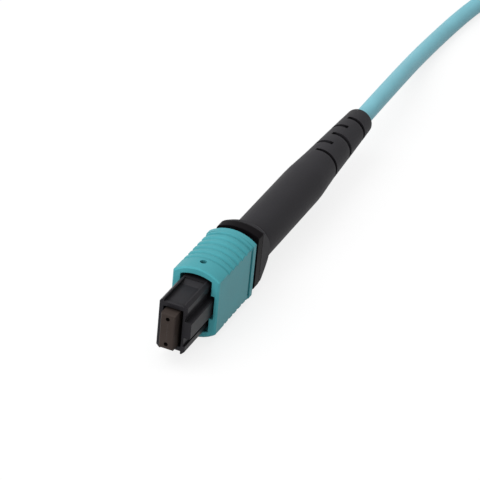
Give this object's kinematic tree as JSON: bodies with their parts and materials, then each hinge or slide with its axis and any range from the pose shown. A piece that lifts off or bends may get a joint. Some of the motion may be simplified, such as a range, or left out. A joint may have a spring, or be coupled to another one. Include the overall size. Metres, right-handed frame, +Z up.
{
  "type": "mpo fibre connector",
  "caption": "Multi-fibre push-pull connector with a sprung ferrule, a ribbed sliding sleeve and a slotted flex boot, on round cable that ends in a tied hank.",
  "frame": {"origin": "centre of the ferrule's end face", "axes": "+Y from the mating face back along the connector, +X towards the key, +Z up along its wide way"},
  "size_m": [0.0238, 0.2458, 0.0206],
  "materials": {
    "ferrule_resin": "ground flat",
    "ribbon_coating": "clear coated",
    "ferrule_rubber": "matt",
    "keeper_plastic": "moulded",
    "spring_steel": "drawn wire",
    "housing_plastic": "satin moulded",
    "sleeve_plastic": "satin moulded",
    "rear_body_plastic": "glossy moulded",
    "aramid": "loose filaments",
    "crimp_metal": "drawn tube",
    "boot_elastomer": "matt moulded",
    "cable_jacket": "extruded",
    "fibre_tube": "loose tube",
    "tie_webbing": "woven strap"
  },
  "bodies": {
    "housing": {"inner_housing": "housing_plastic", "rear_body": "rear_body_plastic", "aramid_yarn": "aramid", "crimp_ring": "crimp_metal", "boot": "boot_elastomer", "cable_jacket": "cable_jacket", "fibre_bundle": "fibre_tube", "cable": "cable_jacket", "cable_hank": "cable_jacket", "hank_tie_right": "tie_webbing", "hank_tie_left": "tie_webbing", "main_spring": "spring_steel", "sleeve_spring_upper": "spring_steel", "sleeve_spring_lower": "spring_steel"},
    "ferrule": {"mt_ferrule": "ferrule_resin", "ferrule_boot": "ferrule_rubber", "pin_keeper": "keeper_plastic", "fibre_ribbon": "ribbon_coating"},
    "sleeve": {"coupling_sleeve": "sleeve_plastic"}
  },
  "joints": [
    {"name": "ferrule_float", "type": "slide", "parent": "housing", "child": "ferrule", "axis": [0, 1, 0], "range_m": [0, 0.001], "stiffness_N_per_m": 400, "deforming": ["main_spring", "fibre_ribbon"]},
    {"name": "sleeve_slide", "type": "slide", "parent": "housing", "child": "sleeve", "axis": [0, 1, 0], "range_m": [0, 0.0015], "stiffness_N_per_m": 200, "deforming": ["sleeve_spring_upper", "sleeve_spring_lower"]}
  ]
}
